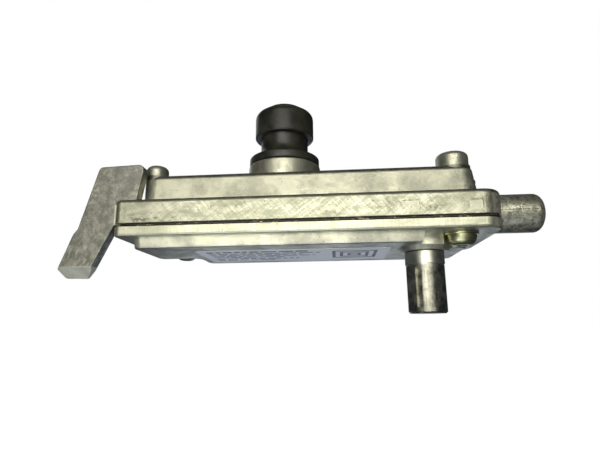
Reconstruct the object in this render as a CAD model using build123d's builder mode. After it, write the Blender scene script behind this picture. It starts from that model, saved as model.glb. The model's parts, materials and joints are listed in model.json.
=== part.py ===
"""Compact door closer: a flat two-part cast case with a rack and pinion inside.

Frame: millimetres, +Z up. The origin is on the output spindle's axis, where the
spindle leaves its boss. +X runs along the case to the round trunnion, +Y runs
from the ground front edge to the back, and the output spindle points down.
"""

import os
from math import atan2, degrees, pi, radians

from build123d import *

os.makedirs("parts", exist_ok=True)

# ---------------------------------------------------------------- driving sizes
case_length = 120.0
case_width = 44.0
case_x = -38.2
case_y = 6.0

pad_z = 1.2
cover_z = 4.65
cover_top_z = 7.7
joint_z = 8.9
flange_top_z = 16.65
box_top_z = 26.9
guide_top_z = 32.5

cylinder_z = 13.5
bore_radius = 8.0
liner_radius = 9.4
liner_left_x = -84.0
liner_right_x = -12.0

shank_radius = 6.05
journal_radius = 4.5
seat_radius = 2.8
top_journal_radius = 2.4
spindle_bottom_z = -19.6

tooth_module = 1.0
tooth_count = 10
pinion_bottom_z = 9.4
pinion_top_z = 14.9
opening_angle = 100.0

knob_x = -46.4
pin_radius = 2.0

bolt_x = 10.3
bolt_y = -7.0
screw_x = -85.7
screw_y = 19.0

running = 0.04
seated = 0.02

# ---------------------------------------------------------------- worked out
case_right = case_x + case_length / 2
case_front = case_y - case_width / 2
case_back = case_y + case_width / 2
pitch_radius = tooth_module * tooth_count / 2
tooth_pitch = pi * tooth_module
rack_travel = pitch_radius * radians(opening_angle)
case_left = case_x - case_length / 2
flange_height = flange_top_z - joint_z
box_height = box_top_z - flange_top_z
cylinder_pocket = liner_radius + seated


# ---------------------------------------------------------------- upper casting
box_left = -93.2
box_right = 17.3
box_front = -10.0
box_back = 22.0
gear_pocket_radius = 6.9
gear_pocket_top = 16.2
rack_pocket_right = 13.4
rack_pocket_front = 3.4
rack_pocket_back = 13.0
rack_pocket_top = 19.0
rack_shelf_y = 5.5
rack_pocket_x = (liner_right_x + rack_pocket_right) / 2 - 1
rack_pocket_length = rack_pocket_right - liner_right_x + 2
top_bush_radius = 4.6
top_bush_end = 20.0
spring_hole_radius = 4.8
spring_hole_floor = 24.2
guide_bush_radius = 6.4
guide_bush_floor = 30.1
valve_z = 13.0
valve_y = 22.0
valve_hole_radius = 2.6
valve_port_radius = 1.3
speed_valve_x = -30.0
latch_valve_x = -62.0
box_fillet = 2.2
trunnion_radius = 6.6
trunnion_root_radius = 7.0
trunnion_end_x = 40.5
trunnion_root_x = 14.0
trunnion_clear_x = case_right + 0.2
trunnion_shoulder_x = case_right + 0.7
boss_on_box_radius = 12.8
post_x = 10.5
post_y = -3.0
post_radius = 5.2
post_base_radius = 5.6
post_base_z = 27.3
post_top_z = 32.1
column_foot_z = box_top_z - box_fillet
stud_x = -89.2
stud_y = -4.8
stud_radius = 3.7
stud_top_z = 30.9
filler_y = -5.5
filler_z = 21.4
filler_radius = 1.6
filler_x = 15.1
tapped_depth = 6.4
bolt_hole_radius = 2.6
screw_hole_radius = 1.85
witness_z = 11.6
left_witness_x = -5.9
right_witness_x = 13.2
witness_depth = 0.3
leg_front = -14.5
leg_thickness = 3.5
leg_edge = 0.35
foot_bevel_top_z = -4.5
foot_bevel_bottom_z = -8.3
leg_outline = [
    (-104.8, 28.2),
    (-89.5, 28.7),
    (-91.5, 17.5),
    (-93.0, 10.0),
    (-98.4, 8.6),
    (-105.0, -5.3),
    (-106.9, -7.9),
    (-114.2, -7.7),
    (-115.9, -5.2),
    (-111.8, 5.9),
    (-110.4, 7.7),
]


def rim_edge(middle):
    """Whether an edge of the leg's front face is on its own outline, not where it meets the flange."""
    above = middle.Z > flange_top_z + 0.2
    outside = middle.X < case_left - 0.1
    return above or outside


with BuildPart() as upper_casting:
    with BuildSketch(Plane.XY.offset(joint_z)):
        with Locations((case_x, case_y)):
            Rectangle(case_length, case_width)
        fillet(vertices().group_by(Axis.X)[0], radius=2.2)
        fillet(vertices().group_by(Axis.X)[-1], radius=6.0)
    extrude(amount=flange_height)
    fillet(faces().sort_by(Axis.Z)[-1].edges(), radius=1.5)
    # domed box over the mechanism, drafted for the die
    with BuildSketch(Plane.XY.offset(flange_top_z)):
        with Locations(((box_left + box_right) / 2, (box_front + box_back) / 2)):
            RectangleRounded(box_right - box_left, box_back - box_front, 5.5)
    extrude(amount=box_height, taper=8)
    fillet(faces().sort_by(Axis.Z)[-1].edges(), radius=box_fillet)
    # anchor leg, cast with the case at its front left corner
    with BuildSketch(Plane.XZ.offset(-leg_front)):
        with BuildLine():
            Polyline(leg_outline, close=True)
        make_face()
        fillet(vertices().group_by(Axis.Y)[-1], radius=2.0)
        fillet(vertices().group_by(Axis.Y)[-2], radius=1.6)
        fillet(vertices().sort_by(Axis.Y)[:3], radius=1.0)
    extrude(amount=-leg_thickness)
    # bevel that lets the foot of the leg slide under its catch
    with BuildSketch(Plane.YZ.offset(case_left - 20)):
        with BuildLine():
            Polyline(
                (leg_front, foot_bevel_top_z),
                (leg_front + leg_thickness, foot_bevel_bottom_z),
                (leg_front, foot_bevel_bottom_z),
                close=True,
            )
        make_face()
    extrude(amount=20, mode=Mode.SUBTRACT)
    leg_face = faces().filter_by(Axis.Y).filter_by_position(Axis.Y, leg_front, leg_front)
    leg_rim = leg_face.edges().filter_by(lambda edge: rim_edge(edge.center()))
    fillet(leg_rim, radius=leg_edge)
    # root of the round trunnion, faired into the flange above the joint
    with BuildSketch(Plane.YZ.offset(trunnion_root_x)):
        with Locations((case_y, cylinder_z)):
            Circle(trunnion_root_radius)
            with Locations((0, joint_z - cylinder_z - trunnion_root_radius)):
                Rectangle(3 * trunnion_root_radius, 2 * trunnion_root_radius, mode=Mode.SUBTRACT)
    extrude(amount=trunnion_clear_x - trunnion_root_x)
    with BuildSketch(Plane.YZ.offset(trunnion_clear_x)):
        with Locations((case_y, cylinder_z)):
            Circle(trunnion_root_radius)
    extrude(amount=trunnion_shoulder_x - trunnion_clear_x)
    # round trunnion
    with BuildSketch(Plane.YZ.offset(trunnion_shoulder_x)):
        with Locations((case_y, cylinder_z)):
            Circle(trunnion_radius)
    extrude(amount=trunnion_end_x - trunnion_shoulder_x)
    fillet(faces().sort_by(Axis.X)[-1].edges(), radius=2.8)
    # guide boss for the plunger
    with BuildSketch(Plane.XY.offset(box_top_z - 2)):
        with Locations((knob_x, case_y)):
            Circle(boss_on_box_radius)
    extrude(amount=guide_top_z - box_top_z + 2)
    fillet(faces().sort_by(Axis.Z)[-1].edges(), radius=0.6)
    # locating post with a wider base, and a plain stud at the other end
    for column_x, column_y, radius, top_z in (
        (post_x, post_y, post_base_radius, post_base_z),
        (post_x, post_y, post_radius, post_top_z),
        (stud_x, stud_y, stud_radius, stud_top_z),
    ):
        foot_z = column_foot_z if column_x == post_x else flange_top_z - 1
        with BuildSketch(Plane.XY.offset(foot_z)):
            with Locations((column_x, column_y)):
                Circle(radius)
        extrude(amount=top_z - foot_z)
    top_edges = edges().filter_by(GeomType.CIRCLE)
    fillet(top_edges.filter_by_position(Axis.Z, post_top_z, post_top_z), radius=1.6)
    fillet(top_edges.filter_by_position(Axis.Z, stud_top_z, stud_top_z), radius=1.8)
    # pocket for the cylinder, open at the joint
    with BuildSketch(Plane.YZ.offset(liner_left_x - 4.5)):
        with Locations((case_y, cylinder_z)):
            Circle(cylinder_pocket)
    extrude(amount=liner_right_x - liner_left_x + 4.5, mode=Mode.SUBTRACT)
    # pocket for the rack, open at the joint
    with BuildSketch(Plane.XY.offset(joint_z)):
        with Locations((rack_pocket_x, (rack_pocket_front + rack_pocket_back) / 2)):
            Rectangle(rack_pocket_length, rack_pocket_back - rack_pocket_front)
        Circle(gear_pocket_radius)
    extrude(amount=gear_pocket_top - joint_z, mode=Mode.SUBTRACT)
    with BuildSketch(Plane.XY.offset(gear_pocket_top)):
        with Locations((rack_pocket_x, (rack_shelf_y + rack_pocket_back) / 2)):
            Rectangle(rack_pocket_length, rack_pocket_back - rack_shelf_y)
    extrude(amount=rack_pocket_top - gear_pocket_top, mode=Mode.SUBTRACT)
    # blind hole for the upper spindle bush
    with BuildSketch(Plane.XY.offset(gear_pocket_top)):
        Circle(top_bush_radius)
    extrude(amount=top_bush_end - gear_pocket_top, mode=Mode.SUBTRACT)
    # plunger hole, spring hole and guide bush seat
    with BuildSketch(Plane.XY.offset(cylinder_z)):
        with Locations((knob_x, case_y)):
            Circle(pin_radius + 0.25)
    extrude(amount=spring_hole_floor - cylinder_z, mode=Mode.SUBTRACT)
    with BuildSketch(Plane.XY.offset(spring_hole_floor)):
        with Locations((knob_x, case_y)):
            Circle(spring_hole_radius)
    extrude(amount=guide_top_z - spring_hole_floor, mode=Mode.SUBTRACT)
    with BuildSketch(Plane.XY.offset(guide_bush_floor)):
        with Locations((knob_x, case_y)):
            Circle(guide_bush_radius)
    extrude(amount=guide_top_z - guide_bush_floor, mode=Mode.SUBTRACT)
    # tapped holes for the cover fasteners
    with BuildSketch(Plane.XY.offset(joint_z)):
        with Locations((bolt_x, bolt_y)):
            Circle(bolt_hole_radius)
        with Locations((screw_x, screw_y)):
            Circle(screw_hole_radius)
    extrude(amount=tapped_depth, mode=Mode.SUBTRACT)
    # two valve holes in the back edge, each with a wide mouth for its head
    with BuildSketch(Plane.XZ.offset(-case_back)):
        with Locations((speed_valve_x, valve_z), (latch_valve_x, valve_z)):
            Circle(valve_hole_radius)
    extrude(amount=case_back - valve_y, mode=Mode.SUBTRACT)
    with BuildSketch(Plane.XZ.offset(-valve_y)):
        with Locations((speed_valve_x, valve_z), (latch_valve_x, valve_z)):
            Circle(valve_port_radius)
    extrude(amount=8.0, mode=Mode.SUBTRACT)
    # filler hole in the right end of the box
    with BuildSketch(Plane.YZ.offset(filler_x - filler_radius - 0.7)):
        with Locations((filler_y, filler_z)):
            Circle(filler_radius)
    extrude(amount=6.0, mode=Mode.SUBTRACT)
    # shallow witness pads on the ground front edge
    with BuildSketch(Plane.XZ.offset(-case_front)):
        with Locations((left_witness_x, witness_z)):
            RectangleRounded(5.2, 3.7, 0.5)
        with Locations((right_witness_x, witness_z)):
            RectangleRounded(4.0, 3.1, 0.5)
    extrude(amount=-witness_depth, mode=Mode.SUBTRACT)
upper_casting.part.label = "upper_casting"
export_step(upper_casting.part, "parts/upper_casting.step")


# ---------------------------------------------------------------- lower cover
boss_radius = 9.2
spindle_bore = 6.2
seal_bore_top = 2.6
bush_floor = 2.7
bush_outer_radius = 6.0
head_clearance = 5.6
bolt_clearance_radius = 2.7
screw_clearance_radius = 2.0

with BuildPart() as lower_cover:
    with BuildSketch(Plane.XY.offset(cover_z)):
        with Locations((case_x, case_y)):
            Rectangle(case_length, case_width)
        fillet(vertices().group_by(Axis.X)[0], radius=2.2)
        fillet(vertices().group_by(Axis.X)[-1], radius=6.0)
    extrude(amount=cover_top_z - cover_z)
    fillet(faces().sort_by(Axis.Z)[0].edges(), radius=0.8)
    # sump pad under the cover, cut back at two corners for the fasteners
    with BuildSketch(Plane.XY.offset(cover_z)):
        with BuildLine():
            Polyline(
                (-93.2, case_front + 2.4),
                (-1.8, case_front + 2.4),
                (-1.8, -1.0),
                (14.4, -1.0),
                (14.4, case_back - 2.6),
                (-78.6, case_back - 2.6),
                (-78.6, 11.5),
                (-93.2, 11.5),
                close=True,
            )
        make_face()
        fillet(vertices().filter_by(lambda v: abs(v.X + 1.8) > 0.1), radius=3.2)
    extrude(amount=-(cover_z - pad_z), taper=9)
    fillet(faces().sort_by(Axis.Z)[0].edges(), radius=0.7)
    # flared boss round the spindle
    with BuildSketch(Plane.XY):
        Circle(7.4)
    with BuildSketch(Plane.XY.offset(pad_z)):
        Circle(boss_radius - 0.5)
    loft()
    with BuildSketch(Plane.XY.offset(pad_z)):
        Circle(boss_radius)
    extrude(amount=cover_z - pad_z)
    # clearance for the head of the cover bolt
    with BuildSketch(Plane.XY.offset(cover_z)):
        with Locations((bolt_x, bolt_y)):
            Circle(head_clearance)
    extrude(amount=-cover_z, mode=Mode.SUBTRACT)
    # lower half of the cylinder pocket and the rack pocket
    with BuildSketch(Plane.YZ.offset(liner_left_x - 4.5)):
        with Locations((case_y, cylinder_z)):
            Circle(cylinder_pocket)
    extrude(amount=liner_right_x - liner_left_x + 4.5, mode=Mode.SUBTRACT)
    with BuildSketch(Plane.XY.offset(cover_top_z)):
        with Locations((rack_pocket_x, (7.2 + rack_pocket_back) / 2)):
            Rectangle(rack_pocket_length, rack_pocket_back - 7.2)
    extrude(amount=-0.4, mode=Mode.SUBTRACT)
    # spindle bore, stepped for the seal and the bush
    with BuildSketch(Plane.XY):
        Circle(spindle_bore)
    extrude(amount=seal_bore_top, mode=Mode.SUBTRACT)
    with BuildSketch(Plane.XY):
        Circle(journal_radius + 0.3)
    extrude(amount=cover_top_z, mode=Mode.SUBTRACT)
    with BuildSketch(Plane.XY.offset(bush_floor)):
        Circle(bush_outer_radius)
    extrude(amount=cover_top_z - bush_floor, mode=Mode.SUBTRACT)
    # clearance holes for the fasteners
    with BuildSketch(Plane.XY.offset(cover_z)):
        with Locations((bolt_x, bolt_y)):
            Circle(bolt_clearance_radius)
        with Locations((screw_x, screw_y)):
            Circle(screw_clearance_radius)
    extrude(amount=cover_top_z - cover_z, mode=Mode.SUBTRACT)
lower_cover.part.label = "lower_cover"
export_step(lower_cover.part, "parts/lower_cover.step")


# ---------------------------------------------------------------- gasket
gasket_inset = 0.9

with BuildPart() as casing_gasket:
    with BuildSketch(Plane.XY.offset(cover_top_z)):
        with Locations((case_x, case_y)):
            RectangleRounded(case_length - 2 * gasket_inset, case_width - 2 * gasket_inset, 4.0)
        with Locations(((liner_left_x - 4.5 + liner_right_x) / 2, case_y)):
            Rectangle(liner_right_x - liner_left_x + 4.5, 2 * liner_radius, mode=Mode.SUBTRACT)
        with Locations((rack_pocket_x, (rack_pocket_front + rack_pocket_back) / 2)):
            Rectangle(
                rack_pocket_length,
                rack_pocket_back - rack_pocket_front,
                mode=Mode.SUBTRACT,
            )
        Circle(gear_pocket_radius, mode=Mode.SUBTRACT)
        with Locations((bolt_x, bolt_y)):
            Circle(bolt_clearance_radius, mode=Mode.SUBTRACT)
        with Locations((screw_x, screw_y)):
            Circle(2.0, mode=Mode.SUBTRACT)
    extrude(amount=joint_z - cover_top_z)
casing_gasket.part.label = "casing_gasket"
export_step(casing_gasket.part, "parts/casing_gasket.step")


# ---------------------------------------------------------------- output spindle
shoulder_z = -0.3
collar_bottom_z = -4.6
collar_radius = 6.25
seat_top_z = 16.0
journal_top_z = 19.6
seat_flat_y = -2.2
clip_z = 15.0
clip_thickness = 0.6
keyway_width = 2.0
keyway_bottom_z = -17.8
keyway_length = 12.4
keyway_depth = 1.0
keyway_angle = 238.0

with BuildPart() as output_spindle:
    with BuildSketch(Plane.XY.offset(spindle_bottom_z)):
        Circle(shank_radius)
    extrude(amount=collar_bottom_z - spindle_bottom_z)
    chamfer(faces().sort_by(Axis.Z)[0].edges(), length=0.5)
    with BuildSketch(Plane.XY.offset(collar_bottom_z)):
        Circle(shank_radius - 0.25)
    extrude(amount=0.4)
    with BuildSketch(Plane.XY.offset(collar_bottom_z + 0.4)):
        Circle(collar_radius)
    extrude(amount=shoulder_z - collar_bottom_z - 0.4)
    with BuildSketch(Plane.XY.offset(shoulder_z)):
        Circle(journal_radius)
    extrude(amount=pinion_bottom_z - shoulder_z)
    # D shaped seat for the pinion
    with BuildSketch(Plane.XY.offset(pinion_bottom_z)):
        Circle(seat_radius)
        with Locations((0, seat_flat_y - 1.0)):
            Rectangle(2 * seat_radius, 2.0, mode=Mode.SUBTRACT)
    extrude(amount=seat_top_z - pinion_bottom_z)
    with BuildSketch(Plane.XY.offset(seat_top_z)):
        Circle(top_journal_radius)
    extrude(amount=journal_top_z - seat_top_z)
    chamfer(faces().sort_by(Axis.Z)[-1].edges(), length=0.4)
    # groove for the retaining ring above the pinion
    with BuildSketch(Plane.XY.offset(clip_z - 0.05)):
        Circle(seat_radius + 1)
        Circle(seat_radius - 0.6, mode=Mode.SUBTRACT)
    extrude(amount=clip_thickness + 0.1, mode=Mode.SUBTRACT)
    # long drive keyway on the visible shank
    with BuildSketch(Plane.XY.offset(keyway_bottom_z)):
        with PolarLocations(shank_radius, 1, start_angle=keyway_angle):
            Rectangle(2 * keyway_depth, keyway_width)
    extrude(amount=keyway_length, mode=Mode.SUBTRACT)
output_spindle.part.label = "output_spindle"
export_step(output_spindle.part, "parts/output_spindle.step")


# ---------------------------------------------------------------- pinion and spindle hardware
addendum = 0.8
dedendum = 1.1
tooth_base_radius = 3.6
tooth_base = 1.7
tooth_tip = 0.7
tooth_height = pitch_radius + addendum - tooth_base_radius
tooth_side_angle = degrees(atan2(tooth_height, (tooth_base - tooth_tip) / 2))

with BuildPart() as drive_pinion:
    with BuildSketch(Plane.XY.offset(pinion_bottom_z)):
        Circle(pitch_radius - dedendum)
        with PolarLocations(tooth_base_radius + tooth_height / 2, tooth_count, start_angle=90):
            Trapezoid(tooth_base, tooth_height, tooth_side_angle, rotation=-90)
        with BuildSketch(mode=Mode.PRIVATE) as seat_hole:
            Circle(seat_radius + seated)
            with Locations((0, seat_flat_y - seated - 1.0)):
                Rectangle(2 * seat_radius + 1, 2.0, mode=Mode.SUBTRACT)
        add(seat_hole.sketch, mode=Mode.SUBTRACT)
    extrude(amount=pinion_top_z - pinion_bottom_z)
drive_pinion.part.label = "drive_pinion"
export_step(drive_pinion.part, "parts/drive_pinion.step")

clip_outer_radius = 4.2
clip_mouth = 2.4

with BuildPart() as spindle_circlip:
    with BuildSketch(Plane.XY.offset(clip_z)):
        Circle(clip_outer_radius)
        Circle(seat_radius - 0.5, mode=Mode.SUBTRACT)
        with Locations((clip_outer_radius, 0)):
            Rectangle(6, clip_mouth, mode=Mode.SUBTRACT)
    extrude(amount=clip_thickness)
spindle_circlip.part.label = "spindle_circlip"
export_step(spindle_circlip.part, "parts/spindle_circlip.step")

bush_top_z = 8.4
washer_radius = 6.2
top_bore = top_journal_radius + running
journal_bore = journal_radius + running
ring_sizes = {
    "upper_spindle_bush": (top_bore, top_bush_radius - seated, gear_pocket_top + 0.1, top_bush_end - 0.1),
    "lower_spindle_bush": (journal_bore, bush_outer_radius - seated, bush_floor, bush_top_z),
    "spindle_seal": (journal_bore, spindle_bore - seated, 0.4, seal_bore_top),
    "thrust_washer": (journal_bore, washer_radius, bush_top_z + 0.1, pinion_bottom_z - 0.05),
}
for name, (inner, outer, bottom, top) in ring_sizes.items():
    with BuildPart() as ring:
        with BuildSketch(Plane.XY.offset(bottom)):
            Circle(outer)
            Circle(inner, mode=Mode.SUBTRACT)
        extrude(amount=top - bottom)
        chamfer(ring.edges().filter_by(GeomType.CIRCLE).sort_by(SortBy.RADIUS)[-2:], length=0.12)
    ring.part.label = name
    export_step(ring.part, f"parts/{name}.step")


# ---------------------------------------------------------------- cylinder
cap_depth = 4.3
pilot_end_x = liner_left_x + 2.5
spring_pilot_end_x = pilot_end_x + 3.0

with BuildPart() as cylinder_liner:
    with BuildSketch(Plane.YZ.offset(liner_left_x)):
        with Locations((case_y, cylinder_z)):
            Circle(liner_radius)
            Circle(bore_radius, mode=Mode.SUBTRACT)
    extrude(amount=liner_right_x - liner_left_x)
    with BuildSketch(Plane.XY.offset(cylinder_z)):
        with Locations((knob_x, case_y)):
            Circle(pin_radius + 0.3)
    extrude(amount=liner_radius + 1, mode=Mode.SUBTRACT)
    with BuildSketch(Plane.XZ.offset(-case_y)):
        with Locations((speed_valve_x, valve_z), (latch_valve_x, valve_z)):
            Circle(valve_port_radius)
    extrude(amount=-liner_radius - 1, mode=Mode.SUBTRACT)
cylinder_liner.part.label = "cylinder_liner"
export_step(cylinder_liner.part, "parts/cylinder_liner.step")

with BuildPart() as cylinder_cap:
    for start_x, end_x, radius in (
        (liner_left_x - cap_depth, liner_left_x - 0.05, liner_radius),
        (liner_left_x - 0.05, pilot_end_x, bore_radius - seated),
        (pilot_end_x, spring_pilot_end_x, 4.3),
    ):
        with BuildSketch(Plane.YZ.offset(start_x)):
            with Locations((case_y, cylinder_z)):
                Circle(radius)
        extrude(amount=end_x - start_x)
    chamfer(faces().sort_by(Axis.X)[-1].edges(), length=0.6)
cylinder_cap.part.label = "cylinder_cap"
export_step(cylinder_cap.part, "parts/cylinder_cap.step")


# ---------------------------------------------------------------- rack piston
piston_radius = bore_radius - running
piston_left_x = -54.0
piston_right_x = -14.0
rack_end_x = 11.6
rack_root_y = pitch_radius + dedendum
rack_back_y = 12.4
rack_bottom_z = 9.3
rack_top_z = 17.7
rack_tooth_base = 1.95
rack_tooth_tip = 0.72
rack_tooth_face = 6.1
rack_tooth_height = addendum + dedendum
rack_tooth_angle = degrees(atan2(rack_tooth_height, (rack_tooth_base - rack_tooth_tip) / 2))
ring_groove_radius = 7.0
ring_width = 1.4
ring_places = (-52.4, -17.0)
slot_floor_z = 18.4
slot_margin = 0.5
check_bore_radius = 2.6
check_seat_x = -47.6
check_ball_radius = 1.6
passage_radius = 1.0
passage_length = 6.6

with BuildPart() as rack_piston:
    with BuildSketch(Plane.YZ.offset(piston_left_x)):
        with Locations((case_y, cylinder_z)):
            Circle(piston_radius)
    extrude(amount=piston_right_x - piston_left_x)
    chamfer(faces().sort_by(Axis.X)[0].edges(), length=0.5)
    chamfer(faces().sort_by(Axis.X)[-1].edges(), length=0.5)
    # half-width bar that carries the rack
    with BuildSketch(Plane.YZ.offset(piston_right_x - 0.5)):
        with Locations(((rack_root_y + rack_back_y) / 2, (rack_bottom_z + rack_top_z) / 2)):
            RectangleRounded(rack_back_y - rack_root_y, rack_top_z - rack_bottom_z, 0.5)
    extrude(amount=rack_end_x - piston_right_x + 0.5)
    with BuildSketch(Plane.XY.offset(rack_bottom_z + 0.4)):
        for index in range(-2, 4):
            with Locations((tooth_pitch * (index + 0.5), rack_root_y - rack_tooth_height / 2 + 0.1)):
                Trapezoid(rack_tooth_base, rack_tooth_height + 0.2, rack_tooth_angle, rotation=180)
    extrude(amount=rack_tooth_face)
    # ring grooves
    for ring_x in ring_places:
        with BuildSketch(Plane.YZ.offset(ring_x - 0.05)):
            with Locations((case_y, cylinder_z)):
                Circle(piston_radius + 1)
                Circle(ring_groove_radius, mode=Mode.SUBTRACT)
        extrude(amount=ring_width + 0.1, mode=Mode.SUBTRACT)
    # slot that the plunger's tip stops
    with BuildSketch(Plane.XY.offset(slot_floor_z)):
        with Locations((knob_x + rack_travel / 2, case_y)):
            SlotCenterToCenter(rack_travel, 2 * (pin_radius + slot_margin))
    extrude(amount=5.0, mode=Mode.SUBTRACT)
    # check valve chamber and its passage up to the slot
    with BuildSketch(Plane.YZ.offset(piston_left_x)):
        with Locations((case_y, cylinder_z)):
            Circle(check_bore_radius)
    extrude(amount=check_seat_x - piston_left_x, mode=Mode.SUBTRACT)
    with BuildSketch(Plane.YZ.offset(check_seat_x)):
        with Locations((case_y, cylinder_z)):
            Circle(passage_radius)
    extrude(amount=passage_length + passage_radius, mode=Mode.SUBTRACT)
    with BuildSketch(Plane.XY.offset(cylinder_z)):
        with Locations((check_seat_x + passage_length, case_y)):
            Circle(passage_radius)
    extrude(amount=6.0, mode=Mode.SUBTRACT)
rack_piston.part.label = "rack_piston"
export_step(rack_piston.part, "parts/rack_piston.step")

for name, ring_x in (("piston_ring_left", ring_places[0]), ("piston_ring_right", ring_places[1])):
    with BuildPart() as piston_ring:
        with BuildSketch(Plane.YZ.offset(ring_x)):
            with Locations((case_y, cylinder_z)):
                Circle(piston_radius)
                Circle(ring_groove_radius + running, mode=Mode.SUBTRACT)
            with Locations((case_y, cylinder_z + bore_radius)):
                Rectangle(0.5, 4, mode=Mode.SUBTRACT)
        extrude(amount=ring_width)
    piston_ring.part.label = name
    export_step(piston_ring.part, f"parts/{name}.step")

with BuildPart() as check_ball:
    with Locations((check_seat_x - 1.28, case_y, cylinder_z)):
        Sphere(check_ball_radius)
check_ball.part.label = "check_ball"
export_step(check_ball.part, "parts/check_ball.step")

with BuildPart() as check_plug:
    with BuildSketch(Plane.YZ.offset(piston_left_x + 0.05)):
        with Locations((case_y, cylinder_z)):
            Circle(check_bore_radius - seated)
            Circle(0.9, mode=Mode.SUBTRACT)
    extrude(amount=0.9)
check_plug.part.label = "check_plug"
export_step(check_plug.part, "parts/check_plug.step")


# ---------------------------------------------------------------- springs
plunger_collar_bottom = 24.4
plunger_collar_top = 25.6
plunger_collar_radius = 4.4
along_x = (1, 0, 0)
along_z = (0, 0, 1)
spring_sizes = {
    "main_spring": ((pilot_end_x, case_y, cylinder_z), along_x, piston_left_x - pilot_end_x, 5.6, 0.9, 7),
    "check_spring": ((piston_left_x + 0.95, case_y, cylinder_z), along_x, 2.5, 1.5, 0.25, 4),
    "plunger_spring": (
        (knob_x, case_y, plunger_collar_top),
        along_z,
        guide_bush_floor - plunger_collar_top,
        3.3,
        0.25,
        3,
    ),
}
for name, (seat, direction, gap, coil_radius, wire_radius, turns) in spring_sizes.items():
    length = gap - 2 * wire_radius - 0.1
    start = Vector(*seat) + Vector(*direction) * (wire_radius + 0.05)
    with BuildPart() as spring:
        with BuildLine() as coil:
            Helix(pitch=length / turns, height=length, radius=coil_radius, center=start, direction=direction)
        with BuildSketch(Plane(origin=coil.line @ 0, z_dir=coil.line % 0)):
            Circle(wire_radius)
        sweep(path=coil.line, is_frenet=True)
    spring.part.label = name
    export_step(spring.part, f"parts/{name}.step")


# ---------------------------------------------------------------- speed and latch valves
valve_head_back = 27.2
valve_head_length = 3.6
valve_needle_radius = 1.15
valve_needle_length = 5.0
valve_tip_length = 2.4
valve_socket_radius = 1.3
valve_socket_depth = 2.0
valve_ring_y = 22.75
valve_ring_radius = 1.87
valve_ring_wire = 0.62

for name, valve_x in (("speed", speed_valve_x), ("latch", latch_valve_x)):
    with BuildPart() as valve_screw:
        with BuildSketch(Plane.XZ.offset(-valve_head_back)):
            with Locations((valve_x, valve_z)):
                Circle(valve_hole_radius - 0.08)
        extrude(amount=valve_head_length)
        chamfer(faces().sort_by(Axis.Y)[-1].edges(), length=0.3)
        with BuildSketch(Plane.XZ.offset(valve_head_length - valve_head_back)):
            with Locations((valve_x, valve_z)):
                Circle(valve_needle_radius)
        extrude(amount=valve_needle_length)
        with BuildSketch(Plane.XZ.offset(valve_head_length + valve_needle_length - valve_head_back)):
            with Locations((valve_x, valve_z)):
                Circle(valve_needle_radius)
        extrude(amount=valve_tip_length, taper=20)
        with BuildSketch(Plane.XZ.offset(-valve_head_back)):
            with Locations((valve_x, valve_z)):
                RegularPolygon(valve_socket_radius, 6)
        extrude(amount=valve_socket_depth, mode=Mode.SUBTRACT)
    valve_screw.part.label = f"{name}_valve_screw"
    export_step(valve_screw.part, f"parts/{name}_valve_screw.step")

    with BuildPart() as valve_o_ring:
        with BuildSketch(Plane(origin=(valve_x, valve_ring_y, valve_z), x_dir=(0, 0, 1), z_dir=(1, 0, 0))):
            with Locations((valve_ring_radius, 0)):
                Circle(valve_ring_wire)
        revolve(axis=Axis((valve_x, valve_ring_y, valve_z), (0, 1, 0)))
    valve_o_ring.part.label = f"{name}_valve_o_ring"
    export_step(valve_o_ring.part, f"parts/{name}_valve_o_ring.step")


# ---------------------------------------------------------------- plunger and knob
knob_bottom_z = guide_top_z + 0.3
knob_rim_z = 35.6
knob_waist_z = 39.4
knob_head_z = 43.8
knob_top_z = 55.3
knob_skirt_radius = 12.5
knob_waist_radius = 8.5
knob_head_radius = 10.6
knob_bore = pin_radius + seated
pin_tip_z = 18.9
pin_top_z = 50.0

with BuildPart() as plunger_pin:
    with BuildSketch(Plane.XY.offset(pin_tip_z)):
        with Locations((knob_x, case_y)):
            Circle(pin_radius)
    extrude(amount=pin_top_z - pin_tip_z)
    chamfer(faces().sort_by(Axis.Z)[0].edges(), length=0.4)
    with BuildSketch(Plane.XY.offset(plunger_collar_bottom)):
        with Locations((knob_x, case_y)):
            Circle(plunger_collar_radius)
    extrude(amount=plunger_collar_top - plunger_collar_bottom)
plunger_pin.part.label = "plunger_pin"
export_step(plunger_pin.part, "parts/plunger_pin.step")

with BuildPart() as plunger_bush:
    with BuildSketch(Plane.XY.offset(guide_bush_floor)):
        with Locations((knob_x, case_y)):
            Circle(guide_bush_radius - seated)
            Circle(pin_radius + running, mode=Mode.SUBTRACT)
    extrude(amount=guide_top_z - guide_bush_floor)
plunger_bush.part.label = "plunger_bush"
export_step(plunger_bush.part, "parts/plunger_bush.step")

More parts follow.
